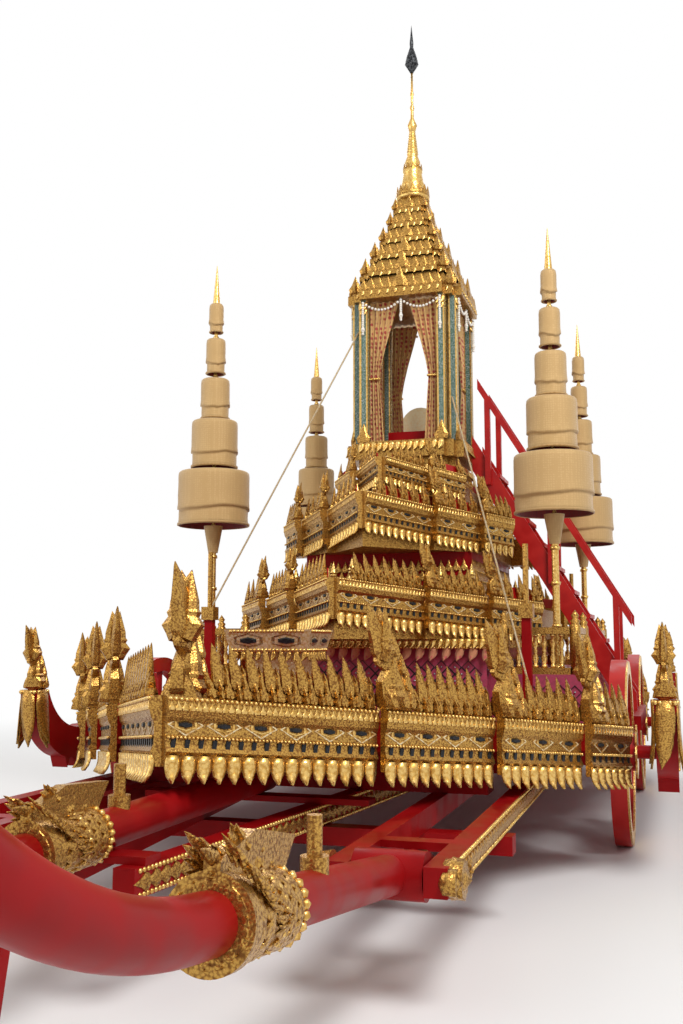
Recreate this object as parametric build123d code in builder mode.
"""Royal processional chariot: four wheels, a stepped naga deck, three boat tiers and a spired throne house.

Millimetres, +Z up, the front towards -Y, the chariot's left side at +X. Lengthwise places in the tables
are measured from the throne house's axis; the model's origin is under the middle of its whole length.
"""

import os
from dataclasses import dataclass
from math import cos, hypot, radians, sin, tan

from build123d import *

os.makedirs("parts", exist_ok=True)

# Clearances
RUNNING_FIT = 0.05
SEAT_GAP = 0.3
MOVING_GAP = 6

# Wheels and axles
DECK_HALF = 1500
WHEEL_TUCK = 240
WHEEL_R = 610
WHEEL_X = DECK_HALF + WHEEL_TUCK
WHEEL_WIDTH = 100
FELLOE_DEPTH = 105
SPOKES = 12
SPOKE_WIDTH = 62
SPOKE_THICKNESS = 56
HUB_R = 125
HUB_LENGTH = 180
AXLE_Y = 1380
AXLE_HALF_DEPTH = 90
JOURNAL_R = 45
COLLAR_R = 80
AXLE_BEAM_SHORT = 160
AXLE_BEAM_HALF = WHEEL_X - AXLE_BEAM_SHORT
GILDING = 12

# Deck levels
DECK_LOW = 700
DECK_TOP = 800
TERRACE_TOP = 1120
BASE_TOP = 1300
VALANCE_TOP = 1360

# Draw gear
BAR_LOW = 420
BAR_TOP = 530
BAR_WIDTH = 90
BAR_REAR_Y = -1950
SIDE_BAR_INNER_X = 860
SIDE_BAR_OUTER_X = 1240
SIDE_BAR_FRONT_Y = -4950
CENTRE_BAR_REAR_X = 500
CENTRE_BAR_FRONT_X = 165
CENTRE_BAR_FRONT_Y = -5300
CROSS_BEAM_Y = -3600
CROSS_BEAM_DEPTH = 110
CROSS_BEAM_HEIGHT = 90
CROSS_BEAM_HALF = 1330
SADDLE_HEIGHT = 30
SADDLE_DEPTH = 120
PIN_Y = -4850
PIN_R = 32
KNUCKLE_R = 78
KNUCKLE_LENGTH = 46
POLE_R = 75
POLE_X = (SIDE_BAR_INNER_X + SIDE_BAR_OUTER_X) / 2
POLE_RISE = 7.8
POLE_TIP_RISE = 45
HEEL_LENGTH = 460
SIDE_BEND_Y = -6600
SIDE_BEND_R = 2000
CENTRE_REAR_Y = -3480
CENTRE_BEND_Y = -6000
CENTRE_BEND_R = 2400
POLE_FINIAL = 600
SLEEVE_WALL = 22
SLEEVE_LENGTH = 420
SIDE_SLEEVE_Y = -6300
CENTRE_SLEEVE_Y = -5470
PEG_Y = -5750
PEG_R = 24
PEG_HEIGHT = 120
PEG_COLLAR_R = 44
PEG_COLLAR_HEIGHT = 40
STOP_DEPTH = 90

# Prop stand
STAND_Y = -5880
STAND_LEAN = 12
STAND_LEG_X = 62
STAND_LEG = 52
STAND_PIN_R = 16
STAND_BRACKET_DROP = 95
STAND_FOOT_HEIGHT = 40
STAND_FOOT_WIDTH = 260
STAND_FOOT_DEPTH = 120

# Outriggers
OUTRIGGER_TUCK = 240
OUTRIGGER_IN = WHEEL_X + OUTRIGGER_TUCK
OUTRIGGER_WIDTH = 120
OUTRIGGER_LOW = 550
OUTRIGGER_TOP = 750
OUTRIGGER_STRAIGHT = 2000
OUTRIGGER_END = 2650
OUTRIGGER_END_TOP = 1020
OUTRIGGER_TONGUE = 150

# Throne house
HOUSE_HALF = 450
HOUSE_BASE_LOW = 2640
HOUSE_FLOOR = 3000
COLUMN_TOP = 4240
COLUMN_WIDTH = 62
COLUMN_IN = 85
EAVE_HALF = 500
ROOF_LOW = COLUMN_TOP
SPIRE_HEIGHT = 1230
BUD_HEIGHT = 250
BUD_TIP = 220
DAIS_HALF = 190
DAIS_HEIGHT = 130

# Boarding stair on the chariot's left side
STAIR_Y = 20
STAIR_WIDTH = 560
STRINGER = 45
STRINGER_RISE = 300
STAIR_FOOT_X = 1800
STAIR_LOWER_X = 1700
STAIR_TOP_X = EAVE_HALF
STAIR_TOP_Z = 2800
TREADS = 9
TREAD_THICKNESS = 32
TREAD_DEPTH = 150
RAIL_LIFT = 800
RAIL_SIZE = 46


def pole_run(pin, bend_y, rise, radius, tip_rise):
    """Return the (y, z) ends of a pole's straight run, and the middle and end of its upswept arc."""
    bend = (bend_y, pin[1] + (pin[0] - bend_y) * tan(radians(rise)))
    arc = []
    for angle in ((rise + tip_rise) / 2, tip_rise):
        forward = radius * (sin(radians(angle)) - sin(radians(rise)))
        upward = radius * (cos(radians(rise)) - cos(radians(angle)))
        arc.append((bend_y - forward, bend[1] + upward))
    return bend, arc[0], arc[1]


PIN_Z = (BAR_LOW + BAR_TOP) / 2
CENTRE_POLE_Z = BAR_TOP + SADDLE_HEIGHT + SEAT_GAP + POLE_R
SIDE_BEND, SIDE_MIDDLE, SIDE_TIP = pole_run((PIN_Y, PIN_Z), SIDE_BEND_Y, POLE_RISE, SIDE_BEND_R, POLE_TIP_RISE)
CENTRE_RUN = pole_run((CENTRE_REAR_Y, CENTRE_POLE_Z), CENTRE_BEND_Y, 0, CENTRE_BEND_R, POLE_TIP_RISE)
CENTRE_BEND, CENTRE_MIDDLE, CENTRE_TIP = CENTRE_RUN


@dataclass(frozen=True)
class Boat:
    """A stepped boat-shaped tier, given by its front left quarter.

    heads holds (x, y) of the bow's tip and of each head where the side steps outward. flames holds how many
    small flames stand on each run. mid_half and mid_y give the straight body amidships.
    """

    heads: tuple
    flames: tuple
    mid_half: float
    mid_y: float
    hull_low: float
    hull_top: float
    band_low: float
    band_height: float
    rise: float
    crest: float
    flame: float

    def lift(self, y):
        """Return how far the sheer has risen at a lengthwise place."""
        flat_y = -self.heads[-1][1]
        tip_y = -self.heads[0][1]
        return self.rise * max(0, -y - flat_y) / (tip_y - flat_y)

    def runs(self):
        """Return each run's (start, end) plan points; a square step out of BAND_STEP follows each run."""
        found = []
        for (x0, y0), (x1, y1) in zip(self.heads, self.heads[1:]):
            across, along = x1 - x0, y1 - y0
            span = hypot(across, along)
            length = (span**2 - BAND_STEP**2) ** 0.5
            aim_x = (across * length - along * BAND_STEP) / span**2
            aim_y = (across * BAND_STEP + along * length) / span**2
            found.append(((x0, y0), (x0 + aim_x * length, y0 + aim_y * length)))
        return found

    def bow_reach(self):
        """Return how far the first run's band reaches past the bow's tip."""
        start, end = self.runs()[0]
        return BAND_DEPTH * (end[0] - start[0]) / hypot(end[0] - start[0], end[1] - start[1])

    def quarter(self):
        """Return the front left quarter's outline points, from the bow's tip to amidships."""
        points = []
        for start, end in self.runs():
            points += [start, end]
        widest = self.heads[-1]
        return points + [(self.mid_half, widest[1]), (self.mid_half, -self.mid_y)]

    def run_frame(self, start, end):
        """Return the run's start and end in space, at the foot of its band, and its outward normal."""
        foot = Vector(start[0], HOUSE_Y + start[1], self.band_low + self.lift(start[1]))
        head = Vector(end[0], HOUSE_Y + end[1], self.band_low + self.lift(end[1]))
        along = Vector(end[0] - start[0], end[1] - start[1], 0).normalized()
        return foot, head, Vector(along.Y, -along.X, 0)


# Boat bands: the step at each head and the band's depth, which stays inside the step
BAND_STEP = 60
BAND_DEPTH = 56

# The moulded band's section: out and up, as shares of its depth and height
BAND_SECTION = (
    (0.0, 0.0),
    (0.45, 0.0),
    (0.60, 0.16),
    (0.85, 0.22),
    (0.60, 0.32),
    (0.60, 0.62),
    (0.85, 0.70),
    (1.0, 0.84),
    (1.0, 0.94),
    (0.72, 1.0),
    (0.0, 1.0),
)

# A small flame and a naga crest, standing on a run: aft and up, as shares of the height
FLAME_SHAPE = ((0.0, 0.0), (-0.10, 0.30), (-0.02, 0.62), (-0.20, 1.0), (0.20, 0.70), (0.42, 0.32), (0.34, 0.0))
CREST_SHAPE = (
    (0.0, 0.0),
    (-0.16, 0.10),
    (-0.06, 0.22),
    (-0.20, 0.34),
    (-0.08, 0.44),
    (-0.22, 0.62),
    (-0.16, 0.80),
    (-0.34, 1.0),
    (-0.04, 0.86),
    (0.10, 0.66),
    (0.12, 0.46),
    (0.28, 0.40),
    (0.24, 0.24),
    (0.40, 0.16),
    (0.36, 0.0),
)
FLAME_WIDTH = 0.42
CREST_WIDTH = 0.44
PLATE = 26

DECK_TIP = 4700
DECK = Boat(
    heads=((0, -DECK_TIP), (720, -3800), (1190, -3200), (1600, -2650), (1850, -2200)),
    flames=(6, 4, 3, 2),
    mid_half=DECK_HALF,
    mid_y=720,
    hull_low=DECK_LOW,
    hull_top=DECK_TOP,
    band_low=540,
    band_height=300,
    rise=280,
    crest=520,
    flame=250,
)
TIER_1 = Boat(
    heads=((0, -2300), (480, -1750), (850, -1360), (1200, -1000)),
    flames=(4, 3, 2),
    mid_half=1100,
    mid_y=0,
    hull_low=VALANCE_TOP,
    hull_top=1600,
    band_low=VALANCE_TOP,
    band_height=270,
    rise=130,
    crest=330,
    flame=190,
)
TIER_2 = Boat(
    heads=((0, -1640), (420, -1180), (730, -900), (960, -700)),
    flames=(3, 2, 2),
    mid_half=720,
    mid_y=0,
    hull_low=2020,
    hull_top=2260,
    band_low=2020,
    band_height=270,
    rise=130,
    crest=300,
    flame=170,
)
TIER_3 = Boat(
    heads=((0, -1100), (300, -800), (560, -560)),
    flames=(3, 1),
    mid_half=470,
    mid_y=0,
    hull_low=2480,
    hull_top=HOUSE_BASE_LOW,
    band_low=2480,
    band_height=190,
    rise=90,
    crest=240,
    flame=140,
)
TIERS = (TIER_1, TIER_2, TIER_3)

# The whole length, from the pole finials' tips to the stern crest's tip
FRONT_REACH = POLE_FINIAL * cos(radians(POLE_TIP_RISE)) - SIDE_TIP[0]
STERN_REACH = DECK_TIP + DECK.bow_reach()
HOUSE_Y = (FRONT_REACH - STERN_REACH) / 2

HOUSE = Plane(origin=(0, HOUSE_Y, 0))
SIDE = Plane(origin=(0, HOUSE_Y, 0), x_dir=(0, 1, 0), z_dir=(1, 0, 0))
ACROSS = Plane(origin=(0, HOUSE_Y, 0), x_dir=(1, 0, 0), z_dir=(0, -1, 0))

# Sides and ends: name and sign along its axis
SIDES = (("left", 1), ("right", -1))
ENDS = (("front", -1), ("rear", 1))


def spot(x, y, z):
    """Return a place in the model from one that is measured from the throne house's axis."""
    return (x, y + HOUSE_Y, z)


def shape(points, scale):
    """Return profile points at their real size."""
    return [(x * scale, y * scale) for x, y in points]


# Axles: a beam under the deck, a collar inside each wheel, and a journal out to the outrigger
for end, fore_aft in ENDS:
    with BuildPart(HOUSE) as axle:
        with Locations((0, fore_aft * AXLE_Y, WHEEL_R)):
            Box(2 * AXLE_BEAM_HALF, 2 * AXLE_HALF_DEPTH, 2 * (DECK_LOW - WHEEL_R))
        with BuildSketch(SIDE.offset(AXLE_BEAM_HALF)):
            with Locations((fore_aft * AXLE_Y, WHEEL_R)):
                Circle(COLLAR_R)
        extrude(amount=WHEEL_X - HUB_LENGTH / 2 - MOVING_GAP - AXLE_BEAM_HALF)
        with BuildSketch(SIDE.offset(AXLE_BEAM_HALF)):
            with Locations((fore_aft * AXLE_Y, WHEEL_R)):
                Circle(JOURNAL_R)
        extrude(amount=OUTRIGGER_IN - AXLE_BEAM_HALF)
        mirror(about=Plane.YZ)
    axle.part.label = f"{end}_axle"
    export_step(axle.part, f"parts/{end}_axle.step")

# Wheels: felloe, spokes and hub in one, with a gilded ring and hub flower on the outer face
GILDED_RIM_IN = WHEEL_R - FELLOE_DEPTH + 12
GILDED_RIM_OUT = WHEEL_R - 10
PETALS = 8
for end, fore_aft in ENDS:
    for side, sign in SIDES:
        face = Plane(origin=spot(sign * WHEEL_X, fore_aft * AXLE_Y, WHEEL_R), x_dir=(0, 1, 0), z_dir=(sign, 0, 0))
        with BuildPart() as wheel:
            with BuildSketch(face):
                Circle(WHEEL_R)
                Circle(WHEEL_R - FELLOE_DEPTH, mode=Mode.SUBTRACT)
            extrude(amount=WHEEL_WIDTH / 2, both=True)
            with BuildSketch(face):
                spoke_out = WHEEL_R - FELLOE_DEPTH / 2
                with PolarLocations(spoke_out / 2, SPOKES):
                    Rectangle(spoke_out, SPOKE_WIDTH)
            extrude(amount=SPOKE_THICKNESS / 2, both=True)
            with BuildSketch(face):
                Circle(HUB_R)
            extrude(amount=HUB_LENGTH / 2, both=True)
            with BuildSketch(face):
                Circle(JOURNAL_R + RUNNING_FIT)
            extrude(amount=HUB_LENGTH, both=True, mode=Mode.SUBTRACT)
        wheel.part.label = f"{end}_{side}_wheel"
        export_step(wheel.part, f"parts/{end}_{side}_wheel.step")

        with BuildPart() as gilding:
            with BuildSketch(face.offset(WHEEL_WIDTH / 2)):
                Circle(GILDED_RIM_OUT)
                Circle(GILDED_RIM_IN, mode=Mode.SUBTRACT)
            extrude(amount=GILDING)
            with BuildSketch(face.offset(HUB_LENGTH / 2)):
                Circle(HUB_R)
                with PolarLocations(HUB_R, PETALS):
                    RegularPolygon(HUB_R * 0.42, 6)
                Circle(JOURNAL_R + MOVING_GAP, mode=Mode.SUBTRACT)
            extrude(amount=GILDING)
        gilding.part.label = f"{end}_{side}_wheel_gilding"
        export_step(gilding.part, f"parts/{end}_{side}_wheel_gilding.step")

# Chassis sills between and beyond the axle beams, under the deck
SILL_X = 620
SILL_WIDTH = 130
SILL_LOW = 560
SILL_END_Y = 1960
SILL_INNER = AXLE_Y - AXLE_HALF_DEPTH
SILL_OUTER = AXLE_Y + AXLE_HALF_DEPTH
SILL_SPANS = ((-SILL_END_Y, -SILL_OUTER), (-SILL_INNER, SILL_INNER), (SILL_OUTER, SILL_END_Y))
with BuildPart(HOUSE) as chassis_sills:
    for span_from, span_to in SILL_SPANS:
        for sign in (1, -1):
            with Locations((sign * SILL_X, (span_from + span_to) / 2, (SILL_LOW + DECK_LOW) / 2)):
                Box(SILL_WIDTH, span_to - span_from, DECK_LOW - SILL_LOW)
chassis_sills.part.label = "chassis_sills"
export_step(chassis_sills.part, "parts/chassis_sills.step")

# Lower deck: the stepped plan, cut to a sheer that rises to the bow and the stern
DECK_FLAT_Y = -DECK.heads[-1][1]
SHEER_TIP_LOW = DECK_LOW + DECK.rise * 0.62
SHEER_TIP_TOP = DECK_TOP + DECK.rise
STEP_HALF = DECK.heads[-1][0]
deck_half = DECK.quarter() + [(STEP_HALF, -DECK.mid_y), (STEP_HALF, 0), (0, 0)]
with BuildPart() as lower_deck:
    with BuildSketch(HOUSE):
        with BuildLine():
            Polyline(*deck_half, close=True)
        make_face()
        mirror(about=Plane.YZ)
        mirror(about=Plane.XZ)
    extrude(amount=SHEER_TIP_TOP + DECK.rise)
    with BuildSketch(SIDE):
        with BuildLine():
            Polyline(
                (0, DECK_LOW),
                (-DECK_FLAT_Y, DECK_LOW),
                (-DECK_TIP, SHEER_TIP_LOW),
                (-DECK_TIP, SHEER_TIP_TOP),
                (-DECK_FLAT_Y, DECK_TOP),
                (0, DECK_TOP),
                close=True,
            )
        make_face()
        mirror(about=Plane.YZ)
    extrude(amount=2 * STEP_HALF, both=True, mode=Mode.INTERSECT)
lower_deck.part.label = "lower_deck"
export_step(lower_deck.part, "parts/lower_deck.step")


def quarter_bands(boat):
    """Return the moulded bands along the runs of a boat's front left quarter."""
    with BuildPart() as bands:
        for start, end in boat.runs():
            foot, head, outward = boat.run_frame(start, end)
            run = foot - head
            with BuildSketch(Plane(origin=head, x_dir=outward, z_dir=Vector(run.X, run.Y, 0))):
                with BuildLine():
                    Polyline(*[(out * BAND_DEPTH, up * boat.band_height) for out, up in BAND_SECTION], close=True)
                make_face()
            extrude(amount=run.length, dir=run)
    return bands.part


def plate_planes(boat):
    """Return planes along the quarter's bands, with crests first in each run: (crest planes, flame planes)."""
    crests = []
    flames = []
    for index, (start, end) in enumerate(boat.runs()):
        foot, head, outward = boat.run_frame(start, end)
        top = outward * (0.36 * BAND_DEPTH) + Vector(0, 0, boat.band_height)
        along = (head - foot).normalized()
        length = (head - foot).length
        first = CREST_WIDTH * boat.crest
        if index:
            crests.append(Plane(origin=foot + top, x_dir=along, z_dir=outward))
        count = boat.flames[index]
        pitch = (length - first - FLAME_WIDTH * boat.flame) / max(1, count - 1)
        for number in range(count):
            place = foot + top + along * (first + number * pitch)
            flames.append(Plane(origin=place, x_dir=along, z_dir=outward))
    return crests, flames


def plate(points, thickness):
    """Return a flat carved plate, centred on its own plane."""
    with BuildPart() as carved:
        with BuildSketch():
            with BuildLine():
                Polyline(*points, close=True)
            make_face()
        extrude(amount=thickness / 2, both=True)
    return carved.part


def quarter_crests(boat):
    """Return the crests and flames that stand on the bands of a boat's front left quarter."""
    crest_planes, flame_planes = plate_planes(boat)
    crest_plate = plate(shape(CREST_SHAPE, boat.crest), PLATE)
    flame_plate = plate(shape(FLAME_SHAPE, boat.flame), PLATE)
    with BuildPart() as rows:
        with Locations(*[plane.location for plane in crest_planes]):
            add(crest_plate)
        with Locations(*[plane.location for plane in flame_planes]):
            add(flame_plate)
    return rows.part


# Lower deck's bands and crests; the tallest crest stands on the bow, and on the stern
BOW_CREST = 1.25 * DECK.crest
BOW_CREST_BACK = 150
for end, fore_aft in ENDS:
    with BuildPart() as deck_band:
        add(quarter_bands(DECK))
        mirror(about=Plane.YZ)
        if fore_aft > 0:
            mirror(about=ACROSS, mode=Mode.REPLACE)
    deck_band.part.label = f"{end}_deck_band"
    export_step(deck_band.part, f"parts/{end}_deck_band.step")

    with BuildPart() as deck_crests:
        add(quarter_crests(DECK))
        mirror(about=Plane.YZ)
        deck_slope = Vector(0, DECK_TIP - DECK_FLAT_Y, DECK_TOP - SHEER_TIP_TOP)
        bow_foot = Vector(spot(0, -DECK_TIP, SHEER_TIP_TOP)) + deck_slope.normalized() * BOW_CREST_BACK
        with Locations(Plane(origin=bow_foot, x_dir=deck_slope, z_dir=(1, 0, 0)).location):
            add(plate(shape(CREST_SHAPE, BOW_CREST), 2 * PLATE))
        if fore_aft > 0:
            mirror(about=ACROSS, mode=Mode.REPLACE)
    deck_crests.part.label = f"{end}_deck_crests"
    export_step(deck_crests.part, f"parts/{end}_deck_crests.step")

# Boat tiers: flat hulls with bands that rise to upswept prows at both ends
with BuildPart() as tier_hulls:
    for boat in TIERS:
        with BuildSketch(HOUSE.offset(boat.hull_low)):
            with BuildLine():
                Polyline(*boat.quarter(), (0, 0), close=True)
            make_face()
            mirror(about=Plane.YZ)
            mirror(about=Plane.XZ)
        extrude(amount=boat.hull_top - boat.hull_low)
tier_hulls.part.label = "tier_hulls"
export_step(tier_hulls.part, "parts/tier_hulls.step")

with BuildPart() as tier_bands:
    for boat in TIERS:
        add(quarter_bands(boat))
    mirror(about=Plane.YZ)
    mirror(about=ACROSS)
tier_bands.part.label = "tier_bands"
export_step(tier_bands.part, "parts/tier_bands.step")

with BuildPart() as tier_crests:
    for boat in TIERS:
        add(quarter_crests(boat))
    mirror(about=Plane.YZ)
    mirror(about=ACROSS)
tier_crests.part.label = "tier_crests"
export_step(tier_crests.part, "parts/tier_crests.step")

# Draw bars: a pair each side for a hinged pole, and a pair that closes in on the fixed centre pole
# Columns: name of the run, x at its rear, x at its front, y at its front
DRAW_BARS = (
    ("side inner", SIDE_BAR_INNER_X, SIDE_BAR_INNER_X, SIDE_BAR_FRONT_Y),
    ("side outer", SIDE_BAR_OUTER_X, SIDE_BAR_OUTER_X, SIDE_BAR_FRONT_Y),
    ("centre", CENTRE_BAR_REAR_X, CENTRE_BAR_FRONT_X, CENTRE_BAR_FRONT_Y),
)
HALF_BAR = BAR_WIDTH / 2
with BuildPart() as draw_bars:
    with BuildSketch(HOUSE.offset(BAR_LOW)):
        for _, rear_x, front_x, front_y in DRAW_BARS:
            with BuildLine():
                Polyline(
                    (rear_x - HALF_BAR, BAR_REAR_Y),
                    (rear_x + HALF_BAR, BAR_REAR_Y),
                    (front_x + HALF_BAR, front_y),
                    (front_x - HALF_BAR, front_y),
                    close=True,
                )
            make_face()
        mirror(about=Plane.YZ)
    extrude(amount=BAR_TOP - BAR_LOW)
    with BuildSketch(SIDE):
        with Locations((PIN_Y, PIN_Z)):
            Circle(PIN_R + RUNNING_FIT)
    extrude(amount=2 * SIDE_BAR_OUTER_X, both=True, mode=Mode.SUBTRACT)
draw_bars.part.label = "draw_bars"
export_step(draw_bars.part, "parts/draw_bars.step")

# Cross beam under the bars, and bolsters that carry the bars under the deck's bow
BOLSTER_DEPTH = 190
# Columns: y of the bolster's middle, half its width
BOLSTERS = ((-2060, 1330), (-3000, 1120))


def deck_floor(y):
    """Return the height of the deck's underside at a lengthwise place."""
    return DECK_LOW + (SHEER_TIP_LOW - DECK_LOW) * max(0, abs(y) - DECK_FLAT_Y) / (DECK_TIP - DECK_FLAT_Y)


def deck_top(y):
    """Return the height of the deck's upper side at a lengthwise place."""
    return DECK_TOP + (SHEER_TIP_TOP - DECK_TOP) * max(0, abs(y) - DECK_FLAT_Y) / (DECK_TIP - DECK_FLAT_Y)


# Saddles across the centre bars, where the fixed pole lies: y, half width
SADDLES = ((CROSS_BEAM_Y, 620), (CENTRE_BAR_FRONT_Y + SADDLE_DEPTH, 220))

# Stop bars across each side pair: a hinged pole's heel bears up under its bar
STOP_Y = PIN_Y + HEEL_LENGTH - STOP_DEPTH / 2
STOP_LOW = PIN_Z - (STOP_Y - STOP_DEPTH / 2 - PIN_Y) * tan(radians(POLE_RISE)) + POLE_R / cos(radians(POLE_RISE))
STOP_HEIGHT = BAR_TOP - STOP_LOW - SEAT_GAP
PAIR_GAP = SIDE_BAR_OUTER_X - SIDE_BAR_INNER_X - BAR_WIDTH
with BuildPart(HOUSE) as draw_beams:
    with Locations((0, CROSS_BEAM_Y, BAR_LOW - CROSS_BEAM_HEIGHT / 2)):
        Box(2 * CROSS_BEAM_HALF, CROSS_BEAM_DEPTH, CROSS_BEAM_HEIGHT)
    for bolster_y, bolster_half in BOLSTERS:
        front, rear = bolster_y - BOLSTER_DEPTH / 2, bolster_y + BOLSTER_DEPTH / 2
        with BuildSketch(SIDE):
            with BuildLine():
                Polyline(
                    (front, BAR_TOP),
                    (rear, BAR_TOP),
                    (rear, deck_floor(rear)),
                    (front, deck_floor(front)),
                    close=True,
                )
            make_face()
        extrude(amount=bolster_half, both=True)
    for saddle_y, saddle_half in SADDLES:
        with Locations((0, saddle_y, BAR_TOP + SADDLE_HEIGHT / 2)):
            Box(2 * saddle_half, SADDLE_DEPTH, SADDLE_HEIGHT)
    with Locations((POLE_X, STOP_Y, BAR_TOP - STOP_HEIGHT / 2), (-POLE_X, STOP_Y, BAR_TOP - STOP_HEIGHT / 2)):
        Box(PAIR_GAP, STOP_DEPTH, STOP_HEIGHT)
draw_beams.part.label = "draw_beams"
export_step(draw_beams.part, "parts/draw_beams.step")

# Hinge pins with gilded knuckle caps on the outer bars
PIN_START = SIDE_BAR_INNER_X - HALF_BAR
PIN_LENGTH = SIDE_BAR_OUTER_X + HALF_BAR - PIN_START
with BuildPart() as hinge_pins:
    with BuildSketch(SIDE.offset(PIN_START)):
        with Locations((PIN_Y, PIN_Z)):
            Circle(PIN_R)
    extrude(amount=PIN_LENGTH)
    mirror(about=Plane.YZ)
hinge_pins.part.label = "hinge_pins"
export_step(hinge_pins.part, "parts/hinge_pins.step")

with BuildPart() as knuckle_caps:
    for face_x, out in ((SIDE_BAR_OUTER_X + HALF_BAR, 1), (SIDE_BAR_INNER_X - HALF_BAR, -1)):
        with BuildSketch(SIDE.offset(face_x)):
            with Locations((PIN_Y, PIN_Z)):
                Circle(KNUCKLE_R)
        extrude(amount=out * KNUCKLE_LENGTH, taper=12)
    mirror(about=Plane.YZ)
knuckle_caps.part.label = "knuckle_caps"
export_step(knuckle_caps.part, "parts/knuckle_caps.step")


def pole_body(x, rear, bend, middle, tip):
    """Return a round pole swept from its rear end, along its straight run and up its arc."""
    points = [spot(x, y, z) for y, z in (rear, bend, middle, tip)]
    with BuildPart() as body:
        with BuildLine() as path:
            Line(points[0], points[1])
            ThreePointArc(points[1], points[2], points[3])
        with BuildSketch(Plane(origin=points[0], z_dir=Vector(points[1]) - Vector(points[0]))):
            Circle(POLE_R)
        sweep(path=path.line)
    return body.part


def axis_plane(x, y, z, rise):
    """Return a plane across a pole, facing forward along it."""
    return Plane(origin=spot(x, y, z), x_dir=(1, 0, 0), z_dir=(0, -cos(radians(rise)), sin(radians(rise))))


def pole_sleeve(x, y, z, rise):
    """Return a gilded sleeve round a pole, with a flared mouth at its front and a crest along its top."""
    with BuildPart() as sleeve:
        with BuildSketch(axis_plane(x, y, z, rise).offset(-SLEEVE_LENGTH / 2)):
            Circle(POLE_R + SLEEVE_WALL)
        extrude(amount=SLEEVE_LENGTH)
        with BuildSketch(axis_plane(x, y, z, rise).offset(SLEEVE_LENGTH / 2 - 2 * SLEEVE_WALL)):
            Circle(POLE_R + 2 * SLEEVE_WALL)
        extrude(amount=2 * SLEEVE_WALL)
        across = Vector(1, 0, 0)
        forward = Vector(0, -cos(radians(rise)), sin(radians(rise)))
        crest_plane = Plane(origin=spot(x, y, z), x_dir=forward * -1, z_dir=across)
        with BuildSketch(crest_plane):
            with BuildLine():
                reach = SLEEVE_LENGTH / 2
                Polyline(
                    (-reach, 0),
                    (-reach, POLE_R + 3 * SLEEVE_WALL),
                    (0, POLE_R + 6 * SLEEVE_WALL),
                    (reach + 4 * SLEEVE_WALL, POLE_R + 5 * SLEEVE_WALL),
                    (reach, POLE_R),
                    (reach, 0),
                    close=True,
                )
            make_face()
        extrude(amount=SLEEVE_WALL, both=True)
        with BuildSketch(axis_plane(x, y, z, rise).offset(-SLEEVE_LENGTH)):
            Circle(POLE_R + SEAT_GAP)
        extrude(amount=2 * SLEEVE_LENGTH, mode=Mode.SUBTRACT)
    return sleeve.part


def pole_finial(x, tip):
    """Return a gilded bud on a pole's tip: radius and reach along the pole's end."""
    section = ((0, 0), (POLE_R, 0), (1.5 * POLE_R, 90), (0.7 * POLE_R, 190), (0.9 * POLE_R, 260), (0, POLE_FINIAL))
    frame = axis_plane(x, tip[0], tip[1], POLE_TIP_RISE)
    with BuildPart() as finial:
        with BuildSketch(Plane(origin=frame.origin, x_dir=(1, 0, 0), z_dir=frame.y_dir)):
            with BuildLine():
                Polyline(*[(radius, -reach) for radius, reach in section], close=True)
            make_face()
        revolve(axis=Axis(frame.origin, frame.z_dir))
    return finial.part


def tow_peg(x, y, z):
    """Return a turned peg that stands on top of a pole: a collar cut to the pole, and a plain pin."""
    with BuildPart() as peg:
        with BuildSketch(Plane(origin=spot(x, y, z))):
            Circle(PEG_COLLAR_R)
        extrude(amount=POLE_R + PEG_COLLAR_HEIGHT)
        with BuildSketch(Plane(origin=spot(x, y, z + POLE_R + PEG_COLLAR_HEIGHT))):
            Circle(PEG_R)
        extrude(amount=PEG_HEIGHT)
    return peg.part


# Poles: the centre one is fixed on its saddles, the side ones hinge on their pins
with BuildPart() as centre_pole:
    add(pole_body(0, (CENTRE_REAR_Y, CENTRE_POLE_Z), CENTRE_BEND, CENTRE_MIDDLE, CENTRE_TIP))
centre_pole.part.label = "centre_pole"
export_step(centre_pole.part, "parts/centre_pole.step")

PEG_Z = PIN_Z + (PIN_Y - PEG_Y) * tan(radians(POLE_RISE))
SLEEVE_Z = PIN_Z + (PIN_Y - SIDE_SLEEVE_Y) * tan(radians(POLE_RISE))
HEEL = (PIN_Y + HEEL_LENGTH, PIN_Z - HEEL_LENGTH * tan(radians(POLE_RISE)))
BARREL_R = 92
for side, sign in SIDES:
    with BuildPart() as pole:
        add(pole_body(sign * POLE_X, HEEL, SIDE_BEND, SIDE_MIDDLE, SIDE_TIP))
        with BuildSketch(SIDE.offset(sign * POLE_X)):
            with Locations((PIN_Y, PIN_Z)):
                Circle(BARREL_R)
        extrude(amount=PAIR_GAP / 2 - MOVING_GAP, both=True)
        with BuildSketch(SIDE.offset(sign * POLE_X)):
            with Locations((PIN_Y, PIN_Z)):
                Circle(PIN_R + RUNNING_FIT)
        extrude(amount=PAIR_GAP, both=True, mode=Mode.SUBTRACT)
    pole.part.label = f"{side}_pole"
    export_step(pole.part, f"parts/{side}_pole.step")

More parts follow.
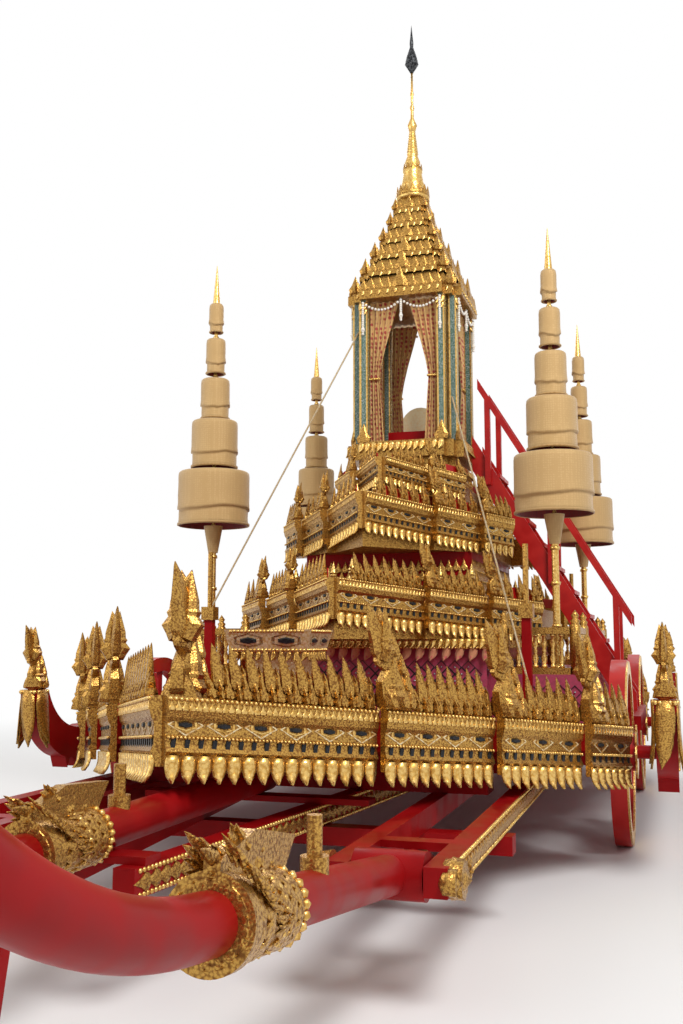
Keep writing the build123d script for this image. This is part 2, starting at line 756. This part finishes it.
# What each pole carries: name, x, sleeve y and z, rise at the sleeve, tip, peg z
POLE_DRESS = (
    ("left", POLE_X, SIDE_SLEEVE_Y, SLEEVE_Z, POLE_RISE, SIDE_TIP, PEG_Z),
    ("right", -POLE_X, SIDE_SLEEVE_Y, SLEEVE_Z, POLE_RISE, SIDE_TIP, PEG_Z),
    ("centre", 0, CENTRE_SLEEVE_Y, CENTRE_POLE_Z, 0, CENTRE_TIP, CENTRE_POLE_Z),
)
for name, pole_x, sleeve_y, sleeve_z, rise, tip, peg_z in POLE_DRESS:
    peg_y = PEG_Y if pole_x else CENTRE_SLEEVE_Y + SLEEVE_LENGTH
    with BuildPart() as gilding:
        add(tow_peg(pole_x, peg_y, peg_z))
        with BuildSketch(axis_plane(pole_x, peg_y, peg_z, rise).offset(-SLEEVE_LENGTH)):
            Circle(POLE_R)
        extrude(amount=2 * SLEEVE_LENGTH, mode=Mode.SUBTRACT)
        add(pole_sleeve(pole_x, sleeve_y, sleeve_z, rise))
        add(pole_finial(pole_x, tip))
    gilding.part.label = f"{name}_pole_gilding"
    export_step(gilding.part, f"parts/{name}_pole_gilding.step")

# Prop stand: a bracket under the centre pole, and two legs on a pin that lean forward to their foot
BRACKET_DEPTH = 110
BRACKET_HALF = STAND_LEG_X - STAND_LEG / 2 - MOVING_GAP
STAND_PIN_Z = CENTRE_POLE_Z - POLE_R - STAND_BRACKET_DROP
with BuildPart() as stand_bracket:
    with BuildSketch(SIDE):
        with BuildLine():
            Polyline(
                (STAND_Y - BRACKET_DEPTH / 2, CENTRE_POLE_Z),
                (STAND_Y + BRACKET_DEPTH / 2, CENTRE_POLE_Z),
                (STAND_Y + BRACKET_DEPTH / 4, STAND_PIN_Z - 2 * STAND_PIN_R),
                (STAND_Y - BRACKET_DEPTH / 4, STAND_PIN_Z - 2 * STAND_PIN_R),
                close=True,
            )
        make_face()
    extrude(amount=BRACKET_HALF, both=True)
    with BuildSketch(axis_plane(0, STAND_Y, CENTRE_POLE_Z, 0).offset(-SLEEVE_LENGTH)):
        Circle(POLE_R)
    extrude(amount=2 * SLEEVE_LENGTH, mode=Mode.SUBTRACT)
    with BuildSketch(SIDE):
        with Locations((STAND_Y, STAND_PIN_Z)):
            Circle(STAND_PIN_R)
    extrude(amount=STAND_LEG_X + STAND_LEG / 2, both=True)
stand_bracket.part.label = "stand_bracket"
export_step(stand_bracket.part, "parts/stand_bracket.step")

STAND_DROP = STAND_PIN_Z - STAND_FOOT_HEIGHT
STAND_FOOT_Y = STAND_Y - STAND_DROP * tan(radians(STAND_LEAN))
LEG_SLANT = STAND_LEG / cos(radians(STAND_LEAN))
LEG_HEAD = 34
HEAD_Y = STAND_Y + LEG_HEAD * tan(radians(STAND_LEAN))
with BuildPart(HOUSE) as pole_stand:
    with BuildSketch(SIDE.offset(STAND_LEG_X)):
        with BuildLine():
            Polyline(
                (STAND_FOOT_Y - LEG_SLANT / 2, STAND_FOOT_HEIGHT),
                (STAND_FOOT_Y + LEG_SLANT / 2, STAND_FOOT_HEIGHT),
                (HEAD_Y + LEG_SLANT / 2, STAND_PIN_Z + LEG_HEAD),
                (HEAD_Y - LEG_SLANT / 2, STAND_PIN_Z + LEG_HEAD),
                close=True,
            )
        make_face()
    extrude(amount=STAND_LEG / 2, both=True)
    with BuildSketch(SIDE):
        with Locations((STAND_Y, STAND_PIN_Z)):
            Circle(STAND_PIN_R + RUNNING_FIT)
    extrude(amount=2 * STAND_LEG_X, mode=Mode.SUBTRACT)
    mirror(about=Plane.YZ)
    with Locations((0, STAND_FOOT_Y, STAND_FOOT_HEIGHT / 2)):
        Box(STAND_FOOT_WIDTH, STAND_FOOT_DEPTH, STAND_FOOT_HEIGHT)
pole_stand.part.label = "pole_stand"
export_step(pole_stand.part, "parts/pole_stand.step")

# Outriggers outside the wheels, with ends that sweep up like a prow and pendant teeth below
TEETH = 4
TOOTH_PITCH = 95
TOOTH_DROP = 80
END_INNER = OUTRIGGER_END - OUTRIGGER_TONGUE
with BuildPart() as outriggers:
    with BuildSketch(SIDE.offset(OUTRIGGER_IN)):
        with BuildLine():
            foot = (-OUTRIGGER_STRAIGHT, OUTRIGGER_LOW)
            heel = (-OUTRIGGER_STRAIGHT, OUTRIGGER_TOP)
            Polyline(heel, (0, OUTRIGGER_TOP), (0, OUTRIGGER_LOW), foot)
            ThreePointArc(foot, (-OUTRIGGER_END + 150, OUTRIGGER_LOW + 130), (-OUTRIGGER_END, OUTRIGGER_END_TOP))
            Line((-OUTRIGGER_END, OUTRIGGER_END_TOP), (-END_INNER, OUTRIGGER_END_TOP))
            ThreePointArc((-END_INNER, OUTRIGGER_END_TOP), (-END_INNER + 130, OUTRIGGER_TOP + 90), heel)
        make_face()
        for tooth in range(TEETH):
            tooth_y = -OUTRIGGER_STRAIGHT - tooth * TOOTH_PITCH + TOOTH_PITCH
            with BuildLine():
                Polyline(
                    (tooth_y, OUTRIGGER_LOW + TOOTH_DROP),
                    (tooth_y - TOOTH_PITCH, OUTRIGGER_LOW + TOOTH_DROP),
                    (tooth_y - 0.8 * TOOTH_PITCH, OUTRIGGER_LOW - 10),
                    (tooth_y - 0.5 * TOOTH_PITCH, OUTRIGGER_LOW - TOOTH_DROP),
                    (tooth_y - 0.2 * TOOTH_PITCH, OUTRIGGER_LOW - 10),
                    close=True,
                )
            make_face()
        mirror(about=Plane.YZ)
    extrude(amount=OUTRIGGER_WIDTH)
    mirror(about=Plane.YZ)
outriggers.part.label = "outriggers"
export_step(outriggers.part, "parts/outriggers.step")

OUTRIGGER_FLAME = 470
with BuildPart() as outrigger_finials:
    foot_plane = Plane(
        origin=spot(OUTRIGGER_IN + OUTRIGGER_WIDTH / 2, -OUTRIGGER_END + 10, OUTRIGGER_END_TOP),
        x_dir=(0, 1, 0),
        z_dir=(1, 0, 0),
    )
    finial_shape = [(0.72 * x, y) for x, y in shape(CREST_SHAPE, OUTRIGGER_FLAME)]
    with Locations(foot_plane.location):
        add(plate(finial_shape, 2 * PLATE))
    mirror(about=Plane.YZ)
    mirror(about=ACROSS)
outrigger_finials.part.label = "outrigger_finials"
export_step(outrigger_finials.part, "parts/outrigger_finials.step")

# Charioteer's seat on the bow: a stepped pedestal cut to the deck's sheer, under a broad slab
SEAT_Y = -3300
SEAT_HALF = 260
SEAT_NECK_HALF = 150
SEAT_DEPTH = 420
SEAT_NECK_DEPTH = 240
SEAT_NECK_TOP = 1290
SEAT_PLINTH_TOP = 1040
SEAT_TOP = 1410
with BuildPart(HOUSE) as charioteer_seat:
    for half, depth, top in ((SEAT_HALF, SEAT_DEPTH, SEAT_PLINTH_TOP), (SEAT_NECK_HALF, SEAT_NECK_DEPTH, SEAT_NECK_TOP)):
        front, rear = SEAT_Y - depth / 2, SEAT_Y + depth / 2
        with BuildSketch(SIDE):
            with BuildLine():
                Polyline((front, deck_top(front)), (rear, deck_top(rear)), (rear, top), (front, top), close=True)
            make_face()
        extrude(amount=half, both=True)
    with BuildSketch(HOUSE.offset(SEAT_NECK_TOP)):
        with Locations((0, SEAT_Y)):
            Rectangle(2 * SEAT_HALF - 80, SEAT_DEPTH - 80)
    extrude(amount=SEAT_TOP - SEAT_NECK_TOP, taper=-14)
charioteer_seat.part.label = "charioteer_seat"
export_step(charioteer_seat.part, "parts/charioteer_seat.step")

# Base: a lattice wall in the middle, a terrace each side, and a valance cornice on the wall
BASE_HALF = 870
BASE_END = 1600
TERRACE_HALF = 1500
TERRACE_END = 1500
VALANCE_PROUD = 60
with BuildPart(HOUSE) as base_wall:
    with BuildSketch(HOUSE.offset(DECK_TOP)):
        Rectangle(2 * BASE_HALF, 2 * BASE_END)
    extrude(amount=BASE_TOP - DECK_TOP)
    with BuildSketch(HOUSE.offset(DECK_TOP)):
        Rectangle(2 * BASE_HALF - 60, 2 * BASE_END + 70)
    extrude(amount=60)
base_wall.part.label = "base_wall"
export_step(base_wall.part, "parts/base_wall.step")

with BuildPart(HOUSE) as base_valance:
    with BuildSketch(HOUSE.offset(BASE_TOP)):
        Rectangle(2 * (BASE_HALF + VALANCE_PROUD), 2 * (BASE_END + VALANCE_PROUD))
    extrude(amount=VALANCE_TOP - BASE_TOP)
base_valance.part.label = "base_valance"
export_step(base_valance.part, "parts/base_valance.step")

TERRACE_X = (BASE_HALF + TERRACE_HALF) / 2
with BuildPart(HOUSE) as side_terraces:
    with Locations((TERRACE_X, 0, (DECK_TOP + TERRACE_TOP) / 2), (-TERRACE_X, 0, (DECK_TOP + TERRACE_TOP) / 2)):
        Box(TERRACE_HALF - BASE_HALF, 2 * TERRACE_END, TERRACE_TOP - DECK_TOP)
side_terraces.part.label = "side_terraces"
export_step(side_terraces.part, "parts/side_terraces.step")

# Balustrades round the terrace corners: rails on turned balusters, with finial posts
BALUSTRADE_TOP = 1440
BALUSTRADE_INSET = 40
RAIL_HEIGHT = 45
RAIL_WIDTH = 50
POST_WIDTH = 74
POST_TOP = 1560
BALUSTER_R = 17
OPENING_Y = 800
RAIL_X = TERRACE_HALF - BALUSTRADE_INSET
RAIL_Y = -TERRACE_END + BALUSTRADE_INSET
RAIL_IN = BASE_HALF + VALANCE_PROUD + POST_WIDTH / 2 + MOVING_GAP
# Rails of the front left corner, between the posts: x and y of the middle, x and y lengths
CORNER_RAILS = (
    ((RAIL_X + RAIL_IN) / 2, RAIL_Y, RAIL_X - RAIL_IN - POST_WIDTH, RAIL_WIDTH),
    (RAIL_X, (RAIL_Y - OPENING_Y) / 2, RAIL_WIDTH, -OPENING_Y - RAIL_Y - POST_WIDTH),
)
CORNER_POSTS = ((RAIL_IN, RAIL_Y), (RAIL_X, RAIL_Y), (RAIL_X, -OPENING_Y))
BALUSTERS = 4
POST_SHOULDER = BALUSTRADE_TOP + 20
POST_STEP = 14
with BuildPart(HOUSE) as balustrade_rails:
    for rail_z in (TERRACE_TOP + RAIL_HEIGHT / 2, BALUSTRADE_TOP - RAIL_HEIGHT / 2):
        for x, y, across, along in CORNER_RAILS:
            with Locations((x, y, rail_z)):
                Box(across, along, RAIL_HEIGHT)
    mirror(about=Plane.YZ)
    mirror(about=ACROSS)
balustrade_rails.part.label = "balustrade_rails"
export_step(balustrade_rails.part, "parts/balustrade_rails.step")

with BuildPart() as balustrade_posts:
    with BuildSketch(HOUSE.offset(TERRACE_TOP + RAIL_HEIGHT)):
        for x, y, across, along in CORNER_RAILS:
            for number in range(1, BALUSTERS + 1):
                share = number / (BALUSTERS + 1) - 0.5
                shift_x = across * share if across > along else 0
                shift_y = along * share if along > across else 0
                with Locations((x + shift_x, y + shift_y)):
                    RegularPolygon(BALUSTER_R, 6)
    extrude(amount=BALUSTRADE_TOP - TERRACE_TOP - 2 * RAIL_HEIGHT)
    with BuildSketch(HOUSE.offset(TERRACE_TOP)):
        with Locations(*CORNER_POSTS):
            Rectangle(POST_WIDTH, POST_WIDTH)
    extrude(amount=POST_SHOULDER - TERRACE_TOP)
    with BuildSketch(HOUSE.offset(POST_SHOULDER)):
        with Locations(*CORNER_POSTS):
            Rectangle(POST_WIDTH - POST_STEP, POST_WIDTH - POST_STEP)
    extrude(amount=POST_TOP - POST_SHOULDER, taper=14)
    mirror(about=Plane.YZ)
    mirror(about=ACROSS)
balustrade_posts.part.label = "balustrade_posts"
export_step(balustrade_posts.part, "parts/balustrade_posts.step")

# Batons on red posts beside the front and rear of the base
BATON_X = 1160
BATON_Y = -1690
BATON_POST = 62
BATON_POST_TOP = 1500
BATON_BLOCK = 96
BATON_R = 20
BATON_TOP = 2000
BATON_SPOTS = [(sx * BATON_X, sy * BATON_Y) for sx in (1, -1) for sy in (1, -1)]
with BuildPart() as baton_posts:
    with BuildSketch(HOUSE.offset(DECK_TOP)):
        with Locations(*BATON_SPOTS):
            Rectangle(BATON_POST, BATON_POST)
    extrude(amount=BATON_POST_TOP - DECK_TOP)
baton_posts.part.label = "baton_posts"
export_step(baton_posts.part, "parts/baton_posts.step")

with BuildPart() as batons:
    with BuildSketch(HOUSE.offset(BATON_POST_TOP)):
        with Locations(*BATON_SPOTS):
            Rectangle(BATON_BLOCK, BATON_BLOCK)
    extrude(amount=BATON_BLOCK)
    with BuildSketch(HOUSE.offset(BATON_POST_TOP + BATON_BLOCK)):
        with Locations(*BATON_SPOTS):
            RegularPolygon(BATON_R, 8)
    extrude(amount=BATON_TOP - BATON_POST_TOP - BATON_BLOCK)
batons.part.label = "batons"
export_step(batons.part, "parts/batons.step")

# Figure terraces: the waisted blocks that lift each tier above the one below
# Columns: half width, half length, low, top
BLOCKS = ((660, 960, TIER_1.hull_top, TIER_2.hull_low), (500, 640, TIER_2.hull_top, TIER_3.hull_low))
with BuildPart() as figure_terraces:
    for half, end, low, top in BLOCKS:
        with BuildSketch(HOUSE.offset(low)):
            Rectangle(2 * half, 2 * end)
        extrude(amount=top - low)
figure_terraces.part.label = "figure_terraces"
export_step(figure_terraces.part, "parts/figure_terraces.step")

# Praying figures in rows on the tiers; the carving is kept plain here
# Body stages: radius at the foot, height, taper in degrees
FIGURE_STAGES = ((72, 90, 8), (58, 100, 10), (30, 62, -6), (34, 70, 22))
with BuildPart() as figure:
    level = 0
    for radius, height, taper in FIGURE_STAGES:
        with BuildSketch(Plane.XY.offset(level)):
            RegularPolygon(radius, 8)
        extrude(amount=height, taper=taper)
        level += height
# Rows of the front left quarter: tier, then (x, y) of each figure
FIGURE_ROWS = (
    (TIER_1, ((0, -1900), (230, -1600), (450, -1330), (690, -1130))),
    (TIER_2, ((0, -1300), (220, -1030), (430, -820))),
)
with BuildPart() as figures:
    for boat, places in FIGURE_ROWS:
        left = [spot(x, y, boat.hull_top) for x, y in places]
        right = [spot(-x, y, boat.hull_top) for x, y in places if x]
        with Locations(*(left + right)):
            add(figure.part)
    mirror(about=ACROSS)
figures.part.label = "figures"
export_step(figures.part, "parts/figures.step")

# Throne house: a redented base of three cornices, columns, stepped roof and spire
REDENT = 0.14


def redented(half):
    """Draw a square with twice-stepped corners in the current sketch."""
    step = REDENT * half
    Rectangle(2 * half, 2 * (half - 2 * step))
    Rectangle(2 * (half - step), 2 * (half - step))
    Rectangle(2 * (half - 2 * step), 2 * half)


# Base stages: half width, height
HOUSE_STAGES = ((440, 50), (400, 60), (455, 45), (420, 65), (EAVE_HALF, 140))
with BuildPart() as house_base:
    level = HOUSE_BASE_LOW
    for half, height in HOUSE_STAGES:
        with BuildSketch(HOUSE.offset(level)):
            redented(half)
        extrude(amount=height)
        level += height
house_base.part.label = "house_base"
export_step(house_base.part, "parts/house_base.step")

with BuildPart() as throne_dais:
    with BuildSketch(HOUSE.offset(HOUSE_FLOOR)):
        Rectangle(2 * DAIS_HALF, 2 * DAIS_HALF)
    extrude(amount=DAIS_HEIGHT)
throne_dais.part.label = "throne_dais"
export_step(throne_dais.part, "parts/throne_dais.step")

# A cluster of three square columns at each corner: x and y of the front left cluster
COLUMN_OUT = HOUSE_HALF - COLUMN_WIDTH / 2
COLUMN_BACK = COLUMN_OUT - COLUMN_IN
with BuildPart() as house_columns:
    with BuildSketch(HOUSE.offset(HOUSE_FLOOR)):
        with Locations((COLUMN_OUT, -COLUMN_BACK), (COLUMN_BACK, -COLUMN_OUT), (COLUMN_BACK, -COLUMN_BACK)):
            Rectangle(COLUMN_WIDTH, COLUMN_WIDTH)
        mirror(about=Plane.YZ)
        mirror(about=Plane.XZ)
    extrude(amount=COLUMN_TOP - HOUSE_FLOOR)
house_columns.part.label = "house_columns"
export_step(house_columns.part, "parts/house_columns.step")

# Roof tiers: half width at the lip, height of the tier; each has a lip and a leaning wall
LIP = 34
LIP_HEIGHT = 40
ROOF_TIERS = ((500, 190), (430, 175), (365, 165), (300, 160), (240, 150), (185, 150))
ANTEFIX = 96
ANTEFIX_SHAPE = ((-0.30, 0.0), (-0.34, 0.26), (-0.16, 0.62), (0.0, 1.0), (0.16, 0.62), (0.34, 0.26), (0.30, 0.0))
ANTEFIX_PLATE = 16
EAVE_HEIGHT = 40
antefix = plate(shape(ANTEFIX_SHAPE, ANTEFIX), ANTEFIX_PLATE)
antefix_spots = []
with BuildPart() as house_roof:
    with BuildSketch(HOUSE.offset(ROOF_LOW)):
        redented(EAVE_HALF)
    extrude(amount=EAVE_HEIGHT)
    level = ROOF_LOW + EAVE_HEIGHT
    for half, height in ROOF_TIERS:
        with BuildSketch(HOUSE.offset(level)):
            redented(half)
        extrude(amount=LIP_HEIGHT)
        with BuildSketch(HOUSE.offset(level + LIP_HEIGHT)):
            redented(half - LIP)
        extrude(amount=height - LIP_HEIGHT)
        antefix_spots.append((half, level + LIP_HEIGHT))
        level += height
ROOF_PEAK = level
SPIRE_BUD_LOW = ROOF_PEAK + SPIRE_HEIGHT
SPIRE_BUD_TOP = SPIRE_BUD_LOW + BUD_HEIGHT
SPIRE_TIP = SPIRE_BUD_TOP + BUD_TIP
house_roof.part.label = "house_roof"
export_step(house_roof.part, "parts/house_roof.step")

with BuildPart() as roof_antefixes:
    planes = []
    for half, level in antefix_spots:
        for share in (-0.5, 0, 0.5):
            planes.append(Plane(
                origin=spot(share * half, -half + LIP / 2, level),
                x_dir=(1, 0, 0),
                z_dir=(0, -1, 0),
            ))
    ring = []
    for plane in planes:
        for quarter_turn in range(4):
            ring.append(Location(spot(0, 0, 0), (0, 0, 90 * quarter_turn)) * Location(spot(0, 0, 0)).inverse()
                        * plane.location)
    with Locations(*ring):
        add(antefix)
roof_antefixes.part.label = "roof_antefixes"
export_step(roof_antefixes.part, "parts/roof_antefixes.step")

# Spire: bell, ringed cone and needle: radius and height
SPIRE_SECTION = (
    (0, ROOF_PEAK),
    (150, ROOF_PEAK),
    (150, ROOF_PEAK + 30),
    (118, ROOF_PEAK + 60),
    (104, ROOF_PEAK + 190),
    (124, ROOF_PEAK + 210),
    (84, ROOF_PEAK + 250),
    (92, ROOF_PEAK + 280),
    (64, ROOF_PEAK + 330),
    (72, ROOF_PEAK + 360),
    (46, ROOF_PEAK + 430),
    (52, ROOF_PEAK + 455),
    (26, ROOF_PEAK + 660),
    (44, ROOF_PEAK + 720),
    (16, ROOF_PEAK + 790),
    (10, SPIRE_BUD_LOW),
    (0, SPIRE_BUD_LOW),
)
with BuildPart() as house_spire:
    with BuildSketch(SIDE):
        with BuildLine():
            Polyline(*SPIRE_SECTION, close=True)
        make_face()
    revolve(axis=Axis(spot(0, 0, 0), (0, 0, 1)))
house_spire.part.label = "house_spire"
export_step(house_spire.part, "parts/house_spire.step")

BUD_R = 62
BUD_SECTION = (
    (0, SPIRE_BUD_LOW),
    (14, SPIRE_BUD_LOW),
    (BUD_R, SPIRE_BUD_LOW + 80),
    (48, SPIRE_BUD_LOW + 150),
    (16, SPIRE_BUD_TOP),
    (18, SPIRE_BUD_TOP + 40),
    (0, SPIRE_TIP),
)
with BuildPart() as lotus_bud:
    with BuildSketch(SIDE):
        with BuildLine():
            Polyline(*BUD_SECTION, close=True)
        make_face()
    revolve(axis=Axis(spot(0, 0, 0), (0, 0, 1)))
lotus_bud.part.label = "lotus_bud"
export_step(lotus_bud.part, "parts/lotus_bud.step")

# Curtains: one to each side of each opening, gathered at a tie; across and up from the floor
CURTAIN_TOP = COLUMN_TOP - HOUSE_FLOOR
CURTAIN_THICKNESS = 40
CURTAIN_EDGE = COLUMN_BACK - COLUMN_WIDTH / 2
CURTAIN_Y = COLUMN_OUT - 40
CURTAIN_SHAPE = (
    (CURTAIN_EDGE - 4, 0),
    (CURTAIN_EDGE - 4, CURTAIN_TOP - 4),
    (40, CURTAIN_TOP - 4),
    (150, 860),
    (CURTAIN_EDGE - 90, 560),
    (CURTAIN_EDGE - 130, 0.3),
)
with BuildPart() as curtains:
    for quarter_turn in range(4):
        across = Vector(1, 0, 0).rotate(Axis.Z, 90 * quarter_turn)
        outward = Vector(0, -1, 0).rotate(Axis.Z, 90 * quarter_turn)
        wall = Plane(origin=Vector(spot(0, 0, HOUSE_FLOOR)) + outward * CURTAIN_Y, x_dir=across, z_dir=outward)
        with BuildSketch(wall):
            with BuildLine():
                Polyline(*CURTAIN_SHAPE, close=True)
            make_face()
            mirror(about=Plane.YZ)
        extrude(amount=CURTAIN_THICKNESS / 2, both=True)
curtains.part.label = "curtains"
export_step(curtains.part, "parts/curtains.step")

# Throne back: a cream panel that stands on the floor behind the dais
BACK_HALF = 150
BACK_TOP = HOUSE_FLOOR + 420
BACK_THICKNESS = 30
with BuildPart() as throne_back:
    with BuildSketch(ACROSS.offset(-DAIS_HALF - BACK_THICKNESS)):
        with BuildLine():
            Polyline(
                (-BACK_HALF, BACK_TOP - 90),
                (-BACK_HALF, HOUSE_FLOOR),
                (BACK_HALF, HOUSE_FLOOR),
                (BACK_HALF, BACK_TOP - 90),
            )
            ThreePointArc((BACK_HALF, BACK_TOP - 90), (0, BACK_TOP), (-BACK_HALF, BACK_TOP - 90))
        make_face()
    extrude(amount=BACK_THICKNESS)
throne_back.part.label = "throne_back"
export_step(throne_back.part, "parts/throne_back.step")

# Five-tier umbrellas on the terraces
UMBRELLA_X = 1320
UMBRELLA_FRONT_Y = -1300
UMBRELLA_REAR_Y = 1200
UMBRELLA_SPOTS = [(sign * UMBRELLA_X, y) for sign in (1, -1) for y in (UMBRELLA_FRONT_Y, UMBRELLA_REAR_Y)]
UMBRELLA_POLE_R = 25
UMBRELLA_STEM_R = 15
UMBRELLA_TIP = 320
CLOTH = 12
# Columns: low, top, diameter
DRUMS = ((2240, 2670, 570), (2700, 3080, 375), (3090, 3420, 240), (3460, 3750, 166), (3800, 4040, 120))
STEM_FROM = DRUMS[0][0]
UMBRELLA_TOP = DRUMS[-1][1] + UMBRELLA_TIP
with BuildPart(HOUSE) as umbrella_poles:
    with BuildSketch(HOUSE.offset(TERRACE_TOP)):
        with Locations(*UMBRELLA_SPOTS):
            Circle(UMBRELLA_POLE_R)
    extrude(amount=STEM_FROM - TERRACE_TOP)
    with BuildSketch(HOUSE.offset(STEM_FROM)):
        with Locations(*UMBRELLA_SPOTS):
            Circle(UMBRELLA_STEM_R)
    extrude(amount=DRUMS[-1][1] - STEM_FROM)
    with Locations(*[(x, y, (DRUMS[-1][1] + UMBRELLA_TOP) / 2) for x, y in UMBRELLA_SPOTS]):
        Cone(2 * UMBRELLA_STEM_R, 2, UMBRELLA_TOP - DRUMS[-1][1])
umbrella_poles.part.label = "umbrella_poles"
export_step(umbrella_poles.part, "parts/umbrella_poles.step")

with BuildPart() as umbrella_canopies:
    for low, top, diameter in DRUMS:
        with BuildSketch(HOUSE.offset(low)):
            with Locations(*UMBRELLA_SPOTS):
                Circle(diameter / 2)
            with Locations(*UMBRELLA_SPOTS):
                Circle(diameter / 2 - CLOTH, mode=Mode.SUBTRACT)
        extrude(amount=top - low - CLOTH)
        with BuildSketch(HOUSE.offset(top - CLOTH)):
            with Locations(*UMBRELLA_SPOTS):
                Circle(diameter / 2)
            with Locations(*UMBRELLA_SPOTS):
                Circle(UMBRELLA_STEM_R + SEAT_GAP, mode=Mode.SUBTRACT)
        extrude(amount=CLOTH - SEAT_GAP)
umbrella_canopies.part.label = "umbrella_canopies"
export_step(umbrella_canopies.part, "parts/umbrella_canopies.step")

BAG_TOP_R = 74
BAG_LENGTH = 210
with BuildPart(HOUSE) as umbrella_bags:
    with Locations(*[(x, y, STEM_FROM - BAG_LENGTH / 2) for x, y in UMBRELLA_SPOTS]):
        Cone(UMBRELLA_POLE_R + CLOTH, BAG_TOP_R, BAG_LENGTH)
    with BuildSketch(HOUSE.offset(STEM_FROM - BAG_LENGTH)):
        with Locations(*UMBRELLA_SPOTS):
            Circle(UMBRELLA_POLE_R + SEAT_GAP)
    extrude(amount=BAG_LENGTH, mode=Mode.SUBTRACT)
umbrella_bags.part.label = "umbrella_bags"
export_step(umbrella_bags.part, "parts/umbrella_bags.step")

# Boarding stair: stringers from the deck's side step up to the house's floor, treads and handrails
STAIR_SLOPE = (STAIR_TOP_Z - DECK_TOP) / (STAIR_LOWER_X - STAIR_TOP_X)


def stair_line(x):
    """Return the height of the stringers' lower edge."""
    return DECK_TOP + (STAIR_LOWER_X - x) * STAIR_SLOPE


STRINGER_OUTLINE = (
    (STAIR_LOWER_X, DECK_TOP),
    (STAIR_FOOT_X, DECK_TOP),
    (STAIR_FOOT_X, stair_line(STAIR_FOOT_X) + STRINGER_RISE),
    (STAIR_TOP_X, STAIR_TOP_Z + STRINGER_RISE),
    (STAIR_TOP_X, STAIR_TOP_Z),
)
STRINGER_FACES = (STAIR_Y, STAIR_Y + STAIR_WIDTH - STRINGER)
with BuildPart() as stair_stringers:
    for face_y in STRINGER_FACES:
        with BuildSketch(ACROSS.offset(-face_y)):
            with BuildLine():
                Polyline(*STRINGER_OUTLINE, close=True)
            make_face()
        extrude(amount=-STRINGER)
stair_stringers.part.label = "stair_stringers"
export_step(stair_stringers.part, "parts/stair_stringers.step")

TREAD_PITCH = (STAIR_LOWER_X - STAIR_TOP_X) / (TREADS + 1)
with BuildPart(HOUSE) as stair_treads:
    for number in range(1, TREADS + 1):
        tread_x = STAIR_LOWER_X - number * TREAD_PITCH
        with Locations((tread_x + TREAD_DEPTH / 4, STAIR_Y + STAIR_WIDTH / 2, stair_line(tread_x) + STRINGER_RISE / 2)):
            Box(TREAD_DEPTH, STAIR_WIDTH - 2 * STRINGER, TREAD_THICKNESS)
stair_treads.part.label = "stair_treads"
export_step(stair_treads.part, "parts/stair_treads.step")

# Handrails: a rail parallel to each stringer, on posts fixed to the stringer's outer face
RAIL_LOW_X = 1780
RAIL_HIGH_X = 560
POST_XS = (1660, 1150, 640)
RAIL_OUTLINE = (
    (RAIL_LOW_X, stair_line(RAIL_LOW_X) + RAIL_LIFT),
    (RAIL_HIGH_X, stair_line(RAIL_HIGH_X) + RAIL_LIFT),
    (RAIL_HIGH_X, stair_line(RAIL_HIGH_X) + RAIL_LIFT + 2 * RAIL_SIZE),
    (RAIL_LOW_X, stair_line(RAIL_LOW_X) + RAIL_LIFT + 2 * RAIL_SIZE),
)
with BuildPart() as stair_handrails:
    for face_y, out in ((STAIR_Y, 1), (STAIR_Y + STAIR_WIDTH, -1)):
        with BuildSketch(ACROSS.offset(-face_y)):
            with BuildLine():
                Polyline(*RAIL_OUTLINE, close=True)
            make_face()
            for post_x in POST_XS:
                post_low = stair_line(post_x) + STRINGER_RISE / 3
                post_top = stair_line(post_x) + RAIL_LIFT + RAIL_SIZE
                with Locations((post_x, (post_low + post_top) / 2)):
                    Rectangle(RAIL_SIZE, post_top - post_low)
        extrude(amount=out * RAIL_SIZE)
stair_handrails.part.label = "stair_handrails"
export_step(stair_handrails.part, "parts/stair_handrails.step")

# Taut stay ropes, cut square to the column's face above and to the terrace or deck below
ROPE_R = 7
# Columns: x and z at the house column's front face, then x, y, z below
STAYS = (
    (-COLUMN_OUT + 10, 3980, -1480, -1950, DECK_TOP),
    (COLUMN_OUT - 10, 3360, 1300, -2180, DECK_TOP),
)
ROPE_SPARE = 200
COLUMN_FACE = -COLUMN_BACK - COLUMN_WIDTH / 2
with BuildPart() as stay_ropes:
    for x0, z0, x1, y1, z1 in STAYS:
        upper = Vector(spot(x0, COLUMN_FACE, z0))
        lower = Vector(spot(x1, y1, z1))
        pull = (lower - upper).normalized()
        with BuildPart(mode=Mode.PRIVATE) as rope:
            with BuildSketch(Plane(origin=upper - pull * ROPE_SPARE, z_dir=pull)):
                Circle(ROPE_R)
            extrude(amount=(lower - upper).length + 2 * ROPE_SPARE)
            split(bisect_by=ACROSS.offset(-COLUMN_FACE), keep=Keep.TOP)
            split(bisect_by=Plane.XY.offset(z1), keep=Keep.TOP)
        add(rope.part)
stay_ropes.part.label = "stay_ropes"
export_step(stay_ropes.part, "parts/stay_ropes.step")
